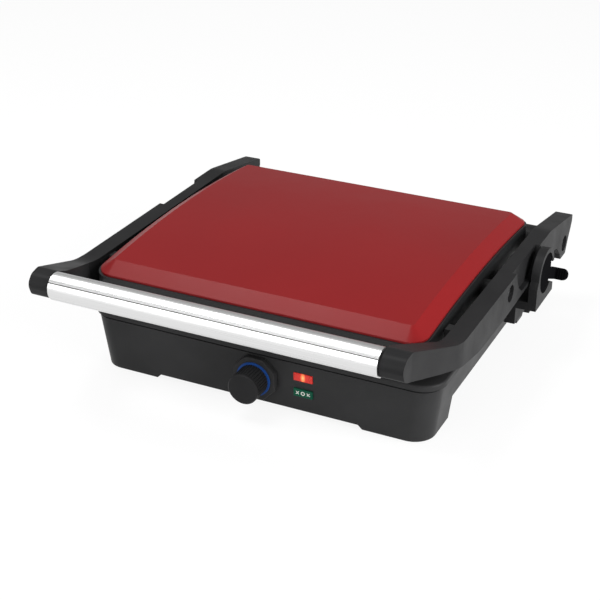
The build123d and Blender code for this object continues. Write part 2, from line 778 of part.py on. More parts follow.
def retaining_ring(side):
    """Ring that keeps a disc's shaft in its ear."""
    x1 = ear_inner - seat_gap * 2
    hub_z = ear_hub_z if side > 0 else left_hub_z
    ring = rod_x(ear_hub_y, hub_z, retaining_ring_radius, x1 - retaining_ring_thickness, x1)
    ring -= rod_x(ear_hub_y, hub_z, lever_shaft_radius + seat_gap, x1 - 3, x1 + 1)
    return ring if side > 0 else mirrored(ring)


def arm_outline(inset=0.0):
    """Side view of an arm as (y, z) points, drawn in by inset."""
    i = inset
    top = [(cap_top_y, cap_top_z - i), (arm_kink_y, arm_top - i), (arm_slope_start, arm_top - i)]
    tail = [(tail_end_y - i, tail_end_z - i), (tail_end_y - i, tail_end_z - 7),
            (hinge_y + 20.5 - i, hinge_z + 9),
            (hinge_y + 13.5 - i, hinge_z - 1.5), (hinge_y + 7.5 - i, post_bottom + i),
            (hinge_y - 9.5 + i, post_bottom + i), (hinge_y - 14.5 + i, post_bottom + 8 + i)]
    underside = [(y, arm_top - depth + i) for y, depth in arm_depths]
    nose = [(bar_bottom_y - 3.5 + i, bar_bottom_z + 3.2 + i), (bar_front_y + 0.9 + i, bar_front_z + 0.5),
            (cap_top_y - 10.2 + i, cap_top_z - 2 - i)]
    return top + tail + underside + nose


def arm_corner_radii():
    """Rounding of each point of the arm's side view."""
    top = [10, 80, 60]
    tail = [2.5, 2, 5, 4, 1.5, 1.5, 3]
    underside = [6, 30, 60, 60, 60, 60, 20]
    nose = [6, 8, 9]
    return top + tail + underside + nose


def arm_plan():
    """Top view of the right arm as (x, y) points."""
    return [(arm_inner, 400), (arm_half_span, 400), (arm_half_span, arm_kink_y + 6),
            (arm_half_span - 1.2, arm_kink_y - 5), (cap_outer_half, cap_top_y), (cap_outer_half - 1.5, -50),
            (cap_inner_half, -50), (cap_inner_half, -12), (arm_inner, arm_kink_y - 6)]


def make_arm():
    """Right arm: an outer shell, open inwards, with its pivot bosses."""
    arm = rounded_side_prism(arm_outline(), arm_corner_radii(), cap_inner_half - 5, arm_half_span + 5)
    arm = arm & plan_prism(arm_plan(), 0, cap_top_z + 10)
    inner = side_prism(arm_outline(arm_wall), arm_inner - 1, arm_half_span - arm_wall)
    room = inner & block(arm_inner - 1, arm_half_span, arm_kink_y + 12, hinge_y - 16, 0, cap_top_z)
    for y, z in ((lid_pivot_y, lid_pivot_z), (hinge_y, hinge_z)):
        room -= rod_x(y, z, hinge_eye_radius, arm_inner - 2, arm_half_span)
    pocket_floor = arm_half_span - pocket_depth
    wall_half = pocket_radius + arm_wall
    room -= block(pocket_floor - arm_wall, arm_half_span, pocket_y - wall_half, pocket_y + wall_half,
                  pocket_bottom - arm_wall, arm_top + 1)
    arm -= room
    pocket = rod_x(pocket_y, pocket_z, pocket_radius, pocket_floor, arm_half_span + 1)
    arm -= pocket & block(pocket_floor - 1, arm_half_span + 2, 0, hinge_y, pocket_bottom, cap_top_z)
    for y, z in ((lid_pivot_y, lid_pivot_z), (hinge_y, hinge_z)):
        arm -= rod_x(y, z, hinge_recess_radius, pin_floor, arm_half_span + 1)
        arm -= rod_x(y, z, hinge_pin_radius + turning_gap, arm_inner - 1, arm_half_span + 1)
    rod_end = cap_inner_half + tie_rod_grip
    return arm - rod_x(tie_rod_y, tie_rod_z, tie_rod_radius + seat_gap, cap_inner_half - 1, rod_end)


def make_arm_liner():
    """Inner cover of the right arm with the small stop tab near its front."""
    clear = arm_wall + liner_gap
    face = side_prism(arm_outline(clear), arm_inner, arm_inner + liner_thickness)
    liner = face & block(arm_inner - 1, arm_half_span, arm_kink_y + 12.2, hinge_y - 16.2, 0, cap_top_z)
    for y, z in ((lid_pivot_y, lid_pivot_z), (hinge_y, hinge_z)):
        liner -= rod_x(y, z, hinge_eye_radius + liner_gap, arm_inner - 2, arm_half_span)
    tab = block(arm_inner - stop_tab_reach, arm_inner + 0.5, stop_tab_y - 5, stop_tab_y + 5, arm_top - 14,
                arm_top - arm_wall - 0.4)
    return liner + tab


def bar_outline(inset=0.0):
    """Side view of the handle bar as a closed wire with a bowed front."""
    i = inset
    low = (0, bar_bottom_y + i, bar_bottom_z + i)
    front = (0, bar_front_y + i, bar_front_z)
    top = (0, cap_top_y - 0.6, cap_top_z - i)
    back_top = (0, bar_back_y - i, cap_top_z - 6)
    back_low = (0, bar_back_y - i, bar_bottom_z + 5)
    bow = ThreePointArc(low, front, top)
    back = Polyline(top, back_top, back_low, low)
    return make_face([bow, back])


def make_handle_bar():
    """Hollow aluminium handle bar with a bowed front and two fine grooves."""
    length = cap_inner_half - 0.1
    bar = extrude(bar_outline(), amount=length, dir=(1, 0, 0), both=True)
    bore = extrude(bar_outline(bar_wall), amount=length + 1, dir=(1, 0, 0), both=True)
    return bar - bore


def make_tie_rod():
    """Steel rod inside the bar that ties the two arms together."""
    end = cap_inner_half + tie_rod_grip - 0.2
    return rod_x(tie_rod_y, tie_rod_z, tie_rod_radius, -end, end)


def make_bar_spacers():
    """Two plastic spacers that centre the rod in the bar."""
    spacers = []
    for x in (-60.0, 60.0):
        web = extrude(bar_outline(bar_wall + 0.2), amount=4, dir=(1, 0, 0), both=True)
        web -= rod_x(tie_rod_y, tie_rod_z, tie_rod_radius + seat_gap, -10, 10)
        spacers.append(Pos(x, 0, 0) * web)
    return spacers


def shoulder_screw(y, z, x_end):
    """Shoulder screw with its head in an arm's recess, along X."""
    head_in = pin_floor + seat_gap * 2
    head = rod_x(y, z, hinge_head_radius, head_in, head_in + screw_head_thickness)
    head = fillet(head.edges().group_by(Axis.X)[-1], 1.2)
    top = head_in + screw_head_thickness
    long, short = hinge_head_radius * 0.6, 0.7
    slot = block(top - 1.5, top + 1, y - long, y + long, z - short, z + short)
    cross = block(top - 1.5, top + 1, y - short, y + short, z - long, z + long)
    return head + rod_x(y, z, hinge_pin_radius, x_end, head_in + 0.5) - slot - cross


def washer_x(y, z, radius, x0, x1):
    """Plain washer on a pivot pin."""
    return rod_x(y, z, radius, x0, x1) - rod_x(y, z, hinge_pin_radius + seat_gap, x0 - 1, x1 + 1)


def make_hinge_bush():
    """Washer between the hinge tower and the arm."""
    return washer_x(hinge_y, hinge_z, bush_radius, tower_outer + 0.15, arm_inner - 0.15)


def make_lid_bush():
    """Spacer between the lid and the arm."""
    return washer_x(lid_pivot_y, lid_pivot_z, bush_radius, lid_half_width + 0.15, arm_inner - 0.15)


def make_lid_housing():
    """Black lid shell, open below, with bosses for the two pivot pins."""
    housing = arched_slab(lid_half_width, lid_front, lid_rear, lid_corner_radius, lid_bottom,
                          lid_edge_height)
    w = plastic_wall
    housing -= arched_slab(lid_half_width - w, lid_front + w, lid_rear - w, lid_corner_radius - w,
                           lid_bottom - 1, lid_edge_height - w)
    rail = rounded_slab(lid_half_width - 1, lid_front + 1, lid_rear - 1, lid_corner_radius - 1, lid_bottom,
                        lid_bottom + 3)
    gap = plate_side_gap
    rail -= rounded_slab(plate_half_width + gap, plate_front - gap, plate_rear + gap,
                         plate_corner_radius + gap, lid_bottom - 1, lid_bottom + 4)
    ledge = rounded_slab(lid_half_width - 1, lid_front + 1, lid_rear - 1, lid_corner_radius - 1,
                         lid_ledge_bottom, lid_ledge_top)
    ledge -= plate_opening(lid_ledge_bottom - 1, lid_ledge_top + 1)
    for x, y in ledge_screw_places():
        ledge -= rod_z(x, y, small_screw_radius + seat_gap, lid_ledge_bottom - 1, lid_ledge_top + 1)
    housing += rail + ledge
    for side in (1, -1):
        inner = side * (lid_half_width - lid_boss_length)
        outer = side * (lid_half_width - 1)
        housing += rod_x(lid_pivot_y, lid_pivot_z, lid_boss_radius, inner, outer)
        bore = hinge_pin_radius + turning_gap
        housing -= rod_x(lid_pivot_y, lid_pivot_z, bore, inner - side, outer + side * 2)
    return housing


def bevelled_cover(inset, top_drop):
    """Arched lid cover with a bevelled border, as a solid."""
    half = lid_half_width - cover_inset - inset
    front = lid_front + cover_inset + inset
    rear = lid_rear - cover_inset - inset
    radius = lid_corner_radius - cover_inset - inset
    top_edge = lid_edge_height + cover_lip_height + cover_bevel_rise - top_drop
    solid = arched_slab(half, front, rear, radius, lid_edge_height - 8, top_edge)
    top = solid.faces().sort_by(Axis.Z)[-1]
    return chamfer(top.edges(), cover_bevel_width, cover_bevel_rise, reference=top)


def make_lid_cover():
    """Red metal cover, a bent sheet over the lid shell."""
    outer = bevelled_cover(0, 0)
    inner = bevelled_cover(cover_thickness, cover_thickness)
    under = arched_slab(lid_half_width + 5, lid_front - 5, lid_rear + 5, 10, lid_edge_height - 20,
                        lid_edge_height + seat_gap)
    return outer - inner - under


def make_thermal_fuse():
    """Thermal fuse with its clip, on the strap."""
    z = upper_reflector_top + strap_thickness + fuse_clip_half
    fuse = rod_x(lid_center_y, z, fuse_radius, -fuse_length / 2, fuse_length / 2)
    clip = block(-4, 4, lid_center_y - 4, lid_center_y + 4, z - fuse_clip_half, z + fuse_clip_half)
    return fuse + clip


def make_fuse_strap():
    """Strap between the fuse and the upper reflector."""
    return block(-20, 20, lid_center_y - 6, lid_center_y + 6, upper_reflector_top,
                 upper_reflector_top + strap_thickness)


def make_all():
    """Every node and its piece or list of pieces."""
    element_gap = element_radius + running_gap
    lower_element_z = plate_bottom - element_gap
    upper_element_z = upper_plate_top + element_gap
    arm = make_arm()
    liner = make_arm_liner()
    hinge_screw = shoulder_screw(hinge_y, hinge_z, tower_inner + 3)
    lid_screw = shoulder_screw(lid_pivot_y, lid_pivot_z, lid_half_width - lid_boss_length + 3)
    return {
        "bottom_housing": make_bottom_housing(),
        "bottom_cover": make_bottom_cover(),
        "bottom_cover_screws": make_bottom_screws(),
        "rubber_feet": make_rubber_feet(),
        "base_top_frame": make_top_frame(),
        "lower_plate": make_plate(plate_bottom, 1),
        "lower_plate_screws": make_plate_screws(frame_bottom, lower_reflector_bottom, 1),
        "lower_heating_element": make_element(lower_element_z),
        "lower_heat_reflector": make_reflector(plate_bottom - running_gap, -1),
        "dial_bezel": make_bezel(),
        "thermostat": make_thermostat(),
        "thermostat_bracket": make_thermostat_bracket(),
        "dial_shaft": make_dial_shaft(),
        "thermostat_knob": make_knob(),
        "knob_ring": make_knob_ring(),
        "power_lamp_lens": make_lamp(red_lamp_z),
        "ready_lamp_lens": make_lamp(green_lamp_z),
        "lamp_board": make_lamp_board(),
        "neon_lamps": make_neon_lamps(),
        "terminal_block": make_terminal_block(),
        "cord_gland": make_gland(),
        "right_side_bracket": make_right_bracket(),
        "left_side_bracket": make_left_bracket(),
        "bracket_screws": make_bracket_screws(),
        "release_lever": make_release_lever(),
        "left_ear_cap": make_ear_cap(),
        "lever_retaining_ring": retaining_ring(1),
        "cap_retaining_ring": retaining_ring(-1),
        "right_hinge_screw": hinge_screw,
        "left_hinge_screw": mirrored(hinge_screw),
        "right_hinge_washer": make_hinge_bush(),
        "left_hinge_washer": mirrored(make_hinge_bush()),
        "right_arm": arm,
        "left_arm": mirrored(arm),
        "right_arm_liner": liner,
        "left_arm_liner": mirrored(liner),
        "handle_bar": make_handle_bar(),
        "handle_tie_rod": make_tie_rod(),
        "handle_bar_spacers": make_bar_spacers(),
        "right_lid_screw": lid_screw,
        "left_lid_screw": mirrored(lid_screw),
        "right_lid_spacer": make_lid_bush(),
        "left_lid_spacer": mirrored(make_lid_bush()),
        "lid_housing": make_lid_housing(),
        "lid_cover": make_lid_cover(),
        "upper_plate": make_plate(upper_rib_bottom + rib_height, -1),
        "upper_plate_screws": make_plate_screws(lid_ledge_top, upper_reflector_top, -1),
        "upper_heating_element": make_element(upper_element_z),
        "upper_heat_reflector": make_reflector(upper_plate_top + running_gap, 1),
        "thermal_fuse": make_thermal_fuse(),
        "fuse_strap": make_fuse_strap(),
    }


def write_nodes():
    """Move every piece to the part's own origin and write it."""
    os.makedirs("parts", exist_ok=True)
    x_middle = (lever_tab_reach - ear_outer) / 2
    y_middle = (bar_front_y + tail_end_y) / 2
    home = Pos(-x_middle, -y_middle, 0)
    for name, made in make_all().items():
        pieces = made if isinstance(made, list) else [made]
        solids = []
        for piece in pieces:
            solids.extend((home * piece).solids())
        shape = solids[0] if len(solids) == 1 else Compound(children=solids)
        shape.label = name
        export_step(shape, "parts/" + name + ".step")


write_nodes()
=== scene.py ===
"""The contact grill's looks: soft-edged shells, metal handle bar, lamps, materials, light and camera."""
import json
import math

import bmesh
import bpy
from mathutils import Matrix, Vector

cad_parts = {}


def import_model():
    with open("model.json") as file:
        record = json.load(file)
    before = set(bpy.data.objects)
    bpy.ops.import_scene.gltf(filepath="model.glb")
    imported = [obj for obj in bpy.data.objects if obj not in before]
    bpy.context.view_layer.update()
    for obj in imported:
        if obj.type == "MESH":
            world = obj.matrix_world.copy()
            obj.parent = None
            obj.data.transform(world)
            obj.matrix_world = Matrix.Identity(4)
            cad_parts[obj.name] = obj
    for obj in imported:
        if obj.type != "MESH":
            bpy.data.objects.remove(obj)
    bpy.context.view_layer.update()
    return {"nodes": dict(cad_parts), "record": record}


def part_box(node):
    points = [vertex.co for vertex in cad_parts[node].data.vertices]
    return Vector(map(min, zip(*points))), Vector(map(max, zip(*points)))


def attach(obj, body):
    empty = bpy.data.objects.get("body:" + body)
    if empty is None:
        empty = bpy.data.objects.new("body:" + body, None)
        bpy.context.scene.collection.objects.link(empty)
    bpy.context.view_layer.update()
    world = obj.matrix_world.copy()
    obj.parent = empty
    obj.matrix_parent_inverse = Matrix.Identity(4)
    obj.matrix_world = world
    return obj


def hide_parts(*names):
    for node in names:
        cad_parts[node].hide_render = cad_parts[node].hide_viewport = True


# Camera fitted to the photograph: place in metres, angles in radians, lens and sensor in millimetres
camera_place = (0.4774, -1.0297, 0.6284)
camera_pitch_down = 0.4727
camera_turn = 0.4517
camera_lens = 81.1
sensor_width = 36.0

# Square lights aimed at the grill's middle: name, place and side in metres, power in watts
light_target = (0, 0, 0.06)
light_table = [
    ("right", (1.6, -0.2, 0.7), 1.2, 42),
    ("top", (-0.72, -0.12, 1.8), 0.8, 24),
    ("front", (-0.5, -1.8, 0.9), 1.6, 20),
]

# White surroundings: how bright they look, how much they light the grill, and the floor in metres
background_strength = 1.0
background_light = 0.4
floor_half_size = 6.0
floor_level = -0.0002
floor_grey = 0.8
floor_background_share = 0.88

# Pieces with softened edges, by body
soft_nodes = {
    "root": ["bottom_housing", "base_top_frame", "dial_bezel", "right_side_bracket", "left_side_bracket",
             "left_ear_cap", "bottom_cover"],
    "lever": ["release_lever"],
    "handle_frame": ["right_arm", "left_arm"],
    "lid": ["lid_housing", "lid_cover"],
}

# Softened pieces that wear a darker material than their slot's. On the right side bracket and the release
# lever this is painted shade, for the shade in the right ear's dish and round the lever; the arms wear the
# knob's darker plastic
shade_and_darker_looks = {"release_lever": "lever_plastic", "right_side_bracket": "knob_plastic",
                "right_arm": "knob_plastic", "left_arm": "knob_plastic"}

# Edge softening, in metres
edge_radius = 0.0007
wide_edge_radius = 0.0014
edge_segments = 2
sharp_angle = math.radians(28)
flat_angle = math.radians(0.6)
weld_distance = 0.000005

# Handle bar section, in metres, measured from its box: the bowed front, then the back
bar_low_back = 0.0083
bar_front_height = 0.0132
bar_top_back = 0.0174
bar_top_drop = 0.00115
bar_front_inset = 0.0001
bar_shoulder = 0.006
bar_heel = 0.005
bar_wall = 0.0019
bar_arc_steps = 72
crease_angle = math.radians(20)
end_facing = 0.5

# Bar grooves, in metres: place from the bow's low end as a share, share of the depth, slot of the line in
# it; the line is painted shade, a dull darker fill for the shade in the groove
groove_depth = 0.0005
groove_half_steps = 1.0
groove_table = [(0.59, 1.0, "black_plastic"), (0.18, 0.5, "fastener_steel")]
line_recess = 0.00005
line_crown = groove_depth / 3

# Marks on the green lamp, in metres
mark_thickness = 0.00012
mark_size = 0.0019
mark_pitch = 0.0052
mark_stroke = 0.0007
cross_turns = (math.radians(45), math.radians(135))
ring_strokes = 8
ring_radius = mark_size * 0.8
ring_stroke_length = ring_radius * 0.85

# Colours, linear
black_plastic = (0.023, 0.023, 0.0235)
shell_plastic = (0.009, 0.009, 0.0095)
# Painted shade: darker, matt plastic for the release lever, for the shade round the right ear
lever_plastic = (0.0045, 0.0045, 0.005)
# Also worn by the right side bracket, where its darkness is painted shade for the ear's dish, and by the
# arms
knob_plastic = (0.014, 0.014, 0.0145)
red_enamel = (0.17, 0.0065, 0.0075)
ring_blue = (0.012, 0.05, 0.2)
coating = (0.014, 0.014, 0.0145)
anodised_metal = (0.78, 0.78, 0.78)
tinted_steel = (0.2, 0.16, 0.13)
sheet_steel = (0.6, 0.6, 0.6)
zinc_steel = (0.45, 0.45, 0.46)
foot_rubber = (0.014, 0.014, 0.014)
lamp_red = (0.42, 0.012, 0.006)
lamp_green = (0.004, 0.06, 0.033)
laminate = (0.17, 0.1, 0.035)
lit_glass = (0.8, 0.4, 0.2)
terminal_white = (0.62, 0.62, 0.58)
black_nylon = (0.012, 0.012, 0.012)

# Red lamp: glow colour and strength by distance from its middle, and its ribs
lamp_face_half_width = 0.009
glow_height_squeeze = 0.5
glow_colours = [(0.0, (1.0, 0.62, 0.25)), (0.14, (1.0, 0.42, 0.12)), (0.3, (0.55, 0.02, 0.01)),
                (1.0, (0.2, 0.004, 0.002))]
glow_strengths = [(0.0, (1.0, 1.0, 1.0)), (0.35, (0.3, 0.3, 0.3))]
lamp_rib_scale = 190.0
lamp_rib_strength = 0.5
lamp_rib_depth = 0.0003

# Places on a noise's range between which a surface changes
swing_places = (0.3, 0.7)
wide_swing_places = (0.25, 0.75)

# Detail of the noise under the fine grain and under the brushing
grain_detail = 2.0
streak_detail = 4.0

# Moulded surfaces: noise scales, shares of the colour, steps from the roughness, grain
moulded_colour_scale = 14.0
moulded_colour_shares = (0.82, 1.2)
moulded_gloss_scale = 45.0
moulded_roughness_steps = (-0.05, 0.06)
grain_strength = 0.35

# Enamel: the same, with its orange-peel surface in place of the grain
enamel_specular = 0.14
enamel_colour_scale = 6.0
enamel_colour_shares = (0.95, 1.04)
enamel_gloss_scale = 25.0
enamel_roughnesses = (0.35, 0.39)
peel_scale = 700.0
peel_strength = 0.12
peel_depth = 0.00004

# Brushed surfaces
brushed_colour_shares = (0.9, 1.0)
brushed_roughness_steps = (-0.05, 0.07)
streak_depth = 0.00002


def new_material(name):
    """Material with nodes, and its nodes and links."""
    material = bpy.data.materials.new(name)
    material.use_nodes = True
    return material, material.node_tree.nodes, material.node_tree.links


def object_coordinates(nodes, links, scale):
    """Object coordinates, scaled, as a vector output."""
    source = nodes.new("ShaderNodeTexCoord")
    mapping = nodes.new("ShaderNodeMapping")
    mapping.inputs["Scale"].default_value = scale
    links.new(source.outputs["Object"], mapping.inputs["Vector"])
    return mapping.outputs["Vector"]


def noise(nodes, links, vector, scale, detail=3.0):
    """Noise texture's factor."""
    texture = nodes.new("ShaderNodeTexNoise")
    texture.inputs["Scale"].default_value = scale
    texture.inputs["Detail"].default_value = detail
    links.new(vector, texture.inputs["Vector"])
    return texture.outputs["Fac"]


def ramp(nodes, links, factor, stops, socket):
    """Colour ramp over a factor, from (place, colour) stops, into a socket."""
    node = nodes.new("ShaderNodeValToRGB")
    elements = node.color_ramp.elements
    while len(elements) < len(stops):
        elements.new(0.5)
    for element, (place, colour) in zip(elements, stops):
        element.position = place
        element.color = (*colour, 1.0)
    links.new(factor, node.inputs["Fac"])
    links.new(node.outputs["Color"], socket)


def grey(value):
    """Grey as a colour."""
    return (value, value, value)


def shades(colour, shares, places=swing_places):
    """Ramp stops between two shares of a colour."""
    return [(place, tuple(c * share for c in colour)) for place, share in zip(places, shares)]


def greys(values, places=swing_places):
    """Ramp stops between two greys."""
    return [(place, grey(value)) for place, value in zip(places, values)]


def bump(nodes, links, height, strength, distance, shader):
    """Bump from a height factor, into a shader's normal."""
    node = nodes.new("ShaderNodeBump")
    node.inputs["Strength"].default_value = strength
    node.inputs["Distance"].default_value = distance
    links.new(height, node.inputs["Height"])
    links.new(node.outputs["Normal"], shader.inputs["Normal"])


def moulded(name, colour, roughness, grain=2600.0, grain_depth=0.00005, gloss=0.08):
    """Moulded or coated surface: fine grain, slight colour and gloss variation."""
    material, nodes, links = new_material(name)
    shader = nodes["Principled BSDF"]
    shader.inputs["Specular IOR Level"].default_value = gloss
    vector = object_coordinates(nodes, links, (1, 1, 1))
    broad = noise(nodes, links, vector, moulded_colour_scale)
    ramp(nodes, links, broad, shades(colour, moulded_colour_shares), shader.inputs["Base Color"])
    cloudy = noise(nodes, links, vector, moulded_gloss_scale)
    roughnesses = [roughness + step for step in moulded_roughness_steps]
    ramp(nodes, links, cloudy, greys(roughnesses, wide_swing_places), shader.inputs["Roughness"])
    fine = noise(nodes, links, vector, grain, grain_detail)
    bump(nodes, links, fine, grain_strength, grain_depth, shader)
    return material


def enamel(name, colour):
    """Satin enamel on sheet metal, with a faint orange-peel surface."""
    material, nodes, links = new_material(name)
    shader = nodes["Principled BSDF"]
    shader.inputs["Specular IOR Level"].default_value = enamel_specular
    vector = object_coordinates(nodes, links, (1, 1, 1))
    broad = noise(nodes, links, vector, enamel_colour_scale)
    ramp(nodes, links, broad, shades(colour, enamel_colour_shares), shader.inputs["Base Color"])
    cloudy = noise(nodes, links, vector, enamel_gloss_scale)
    ramp(nodes, links, cloudy, greys(enamel_roughnesses), shader.inputs["Roughness"])
    peel = noise(nodes, links, vector, peel_scale, grain_detail)
    bump(nodes, links, peel, peel_strength, peel_depth, shader)
    return material


def brushed(name, colour, roughness, stretch, scale=900.0, relief=0.15):
    """Brushed or drawn metal; stretch is the scale of the brushing along X, Y and Z."""
    material, nodes, links = new_material(name)
    shader = nodes["Principled BSDF"]
    shader.inputs["Metallic"].default_value = 1.0
    vector = object_coordinates(nodes, links, stretch)
    streaks = noise(nodes, links, vector, scale, streak_detail)
    ramp(nodes, links, streaks, shades(colour, brushed_colour_shares), shader.inputs["Base Color"])
    roughnesses = [roughness + step for step in brushed_roughness_steps]
    ramp(nodes, links, streaks, greys(roughnesses), shader.inputs["Roughness"])
    bump(nodes, links, streaks, relief, streak_depth, shader)
    return material


def vector_math(nodes, links, operation, vector, constant=None):
    """Node that works on a vector, with a constant where the operation takes one."""
    node = nodes.new("ShaderNodeVectorMath")
    node.operation = operation
    links.new(vector, node.inputs[0])
    if constant is not None:
        node.inputs[1].default_value = constant
    return node


def lit_lamp(name, centre):
    """Ribbed red lens with the neon's glow behind its middle."""
    material = moulded(name, lamp_red, roughness=0.25, grain=800.0, grain_depth=0.00001, gloss=0.4)
    nodes, links = material.node_tree.nodes, material.node_tree.links
    shader = nodes["Principled BSDF"]
    source = nodes.new("ShaderNodeTexCoord").outputs["Object"]
    offset = vector_math(nodes, links, "SUBTRACT", source, centre)
    scale = (1 / lamp_face_half_width, 0, glow_height_squeeze / lamp_face_half_width)
    squeezed = vector_math(nodes, links, "MULTIPLY", offset.outputs[0], scale)
    distance = vector_math(nodes, links, "LENGTH", squeezed.outputs[0]).outputs["Value"]
    ramp(nodes, links, distance, glow_colours, shader.inputs["Emission Color"])
    ramp(nodes, links, distance, glow_strengths, shader.inputs["Emission Strength"])
    ribs = nodes.new("ShaderNodeTexWave")
    ribs.inputs["Scale"].default_value = lamp_rib_scale
    links.new(source, ribs.inputs["Vector"])
    bump(nodes, links, ribs.outputs["Fac"], lamp_rib_strength, lamp_rib_depth, shader)
    return material


def make_materials():
    """Every slot's material by name, and the release lever's darker plastic, which no slot has and which
    paints shade on the lever.
    """
    table = {
        "black_plastic": (moulded, dict(colour=black_plastic, roughness=0.42)),
        "lid_shell_plastic": (moulded, dict(colour=shell_plastic, roughness=0.42, gloss=0.3)),
        "knob_plastic": (moulded, dict(colour=knob_plastic, roughness=0.45)),
        "ring_blue": (moulded, dict(colour=ring_blue, roughness=0.3, grain=1200.0, grain_depth=0.00001)),
        "red_enamel": (enamel, dict(colour=red_enamel)),
        "handle_aluminium": (brushed, dict(colour=anodised_metal, roughness=0.3, stretch=(0.004, 1, 1),
                                           scale=1800.0, relief=0.03)),
        "nonstick_coating": (moulded, dict(colour=coating, roughness=0.5, grain=3500.0,
                                           grain_depth=0.00004)),
        "element_sheath": (brushed, dict(colour=tinted_steel, roughness=0.45, stretch=(1, 1, 1),
                                         scale=250.0)),
        "reflector_steel": (brushed, dict(colour=sheet_steel, roughness=0.35, stretch=(1, 0.05, 1))),
        "fastener_steel": (brushed, dict(colour=zinc_steel, roughness=0.3, stretch=(1, 1, 1), scale=600.0)),
        "foot_rubber": (moulded, dict(colour=foot_rubber, roughness=0.75, grain=1500.0, grain_depth=0.0001)),
        "lens_red": (lit_lamp, dict(centre=face_centre("power_lamp_lens"))),
        # Painted shade on the release lever, as a darker matt plastic
        "lever_plastic": (moulded, dict(colour=lever_plastic, roughness=0.6, gloss=0.0)),
        "lens_green": (moulded, dict(colour=lamp_green, roughness=0.3, grain=800.0, grain_depth=0.00001)),
        "board": (moulded, dict(colour=laminate, roughness=0.5)),
        "neon_glass": (moulded, dict(colour=lit_glass, roughness=0.1, grain=300.0, grain_depth=0.00001)),
        "terminal_plastic": (moulded, dict(colour=terminal_white, roughness=0.4)),
        "washer_nylon": (moulded, dict(colour=black_nylon, roughness=0.5)),
    }
    return {name: make(name, **settings) for name, (make, settings) in table.items()}


def face_centre(node):
    """Middle of the front of a node's box."""
    low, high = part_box(node)
    return ((low[0] + high[0]) / 2, low[1], (low[2] + high[2]) / 2)


def set_material(obj, material):
    """One material on an object."""
    obj.data.materials.clear()
    obj.data.materials.append(material)


def add_object(name, data):
    """New object in the scene."""
    obj = bpy.data.objects.new(name, data)
    bpy.context.scene.collection.objects.link(obj)
    return obj


def mesh_object(name, bm):
    """New object in the scene from a finished bmesh."""
    mesh = bpy.data.meshes.new(name)
    bm.to_mesh(mesh)
    bm.free()
    return add_object(name, mesh)


def mesh_piece(name, bm, slot_name, materials, body):
    """Object from a finished bmesh, with its material, body and slot."""
    piece = mesh_object(name, bm)
    set_material(piece, materials[slot_name])
    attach(piece, body)
    return piece


def softened(frame, node, body, slot_name, materials, radius, look=None):
    """Copy of a CAD node with its edges rounded, which stands for the node; look names another material."""
    mesh = frame["nodes"][node].data.copy()
    piece = add_object(node + "_shell", mesh)
    bm = bmesh.new()
    bm.from_mesh(mesh)
    bmesh.ops.remove_doubles(bm, verts=bm.verts, dist=weld_distance)
    bmesh.ops.dissolve_limit(bm, angle_limit=flat_angle, verts=bm.verts, edges=bm.edges)
    for face in bm.faces:
        face.smooth = True
    bm.to_mesh(mesh)
    bm.free()
    bevel = piece.modifiers.new("edges", "BEVEL")
    bevel.width = radius
    bevel.segments = edge_segments
    bevel.limit_method = "ANGLE"
    bevel.angle_limit = sharp_angle
    bevel.use_clamp_overlap = True
    normals = piece.modifiers.new("normals", "WEIGHTED_NORMAL")
    normals.keep_sharp = True
    set_material(piece, materials[look or slot_name])
    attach(piece, body)
    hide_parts(node)


def circle_through(a, b, c):
    """Centre and radius of the circle through three (y, z) points."""
    d = 2 * (a[0] * (b[1] - c[1]) + b[0] * (c[1] - a[1]) + c[0] * (a[1] - b[1]))
    squares = [p[0] ** 2 + p[1] ** 2 for p in (a, b, c)]
    y = (squares[0] * (b[1] - c[1]) + squares[1] * (c[1] - a[1]) + squares[2] * (a[1] - b[1])) / d
    z = (squares[0] * (c[0] - b[0]) + squares[1] * (a[0] - c[0]) + squares[2] * (b[0] - a[0])) / d
    return (y, z), math.dist((y, z), a)


def bar_section(low_corner, high_corner):
    """Outer and inner outline of the handle bar as (y, z) points, with two grooves along its front."""
    y0, z0 = low_corner[1], low_corner[2]
    y1, z1 = high_corner[1], high_corner[2]
    start = (y0 + bar_low_back, z0)
    front = (y0 + bar_front_inset, z0 + bar_front_height)
    end = (y0 + bar_top_back, z1 - bar_top_drop)
    centre, radius = circle_through(start, front, end)
    first = math.atan2(start[1] - centre[1], start[0] - centre[0]) % (2 * math.pi)
    last = math.atan2(end[1] - centre[1], end[0] - centre[0]) % (2 * math.pi)
    outer, inner = [], []
    for step in range(bar_arc_steps + 1):
        share = step / bar_arc_steps
        angle = first + (last - first) * share
        depth = 0.0
        for place, depth_share, _ in groove_table:
            if abs(share - place) * bar_arc_steps < groove_half_steps:
                depth = groove_depth * depth_share
        for ring, reach in ((outer, radius - depth), (inner, radius - bar_wall)):
            ring.append((centre[0] + reach * math.cos(angle), centre[1] + reach * math.sin(angle)))
    shoulder = z1 - bar_top_drop - bar_shoulder
    outer += [(y1, shoulder), (y1, z0 + bar_heel)]
    inner += [(y1 - bar_wall, shoulder - bar_wall / 2), (y1 - bar_wall, z0 + bar_heel + bar_wall / 2)]
    return outer, inner


def join_rings(bm, near, far):
    """Faces between two rings of vertices."""
    for index in range(len(near)):
        after = (index + 1) % len(near)
        bm.faces.new((near[index], near[after], far[after], far[index]))


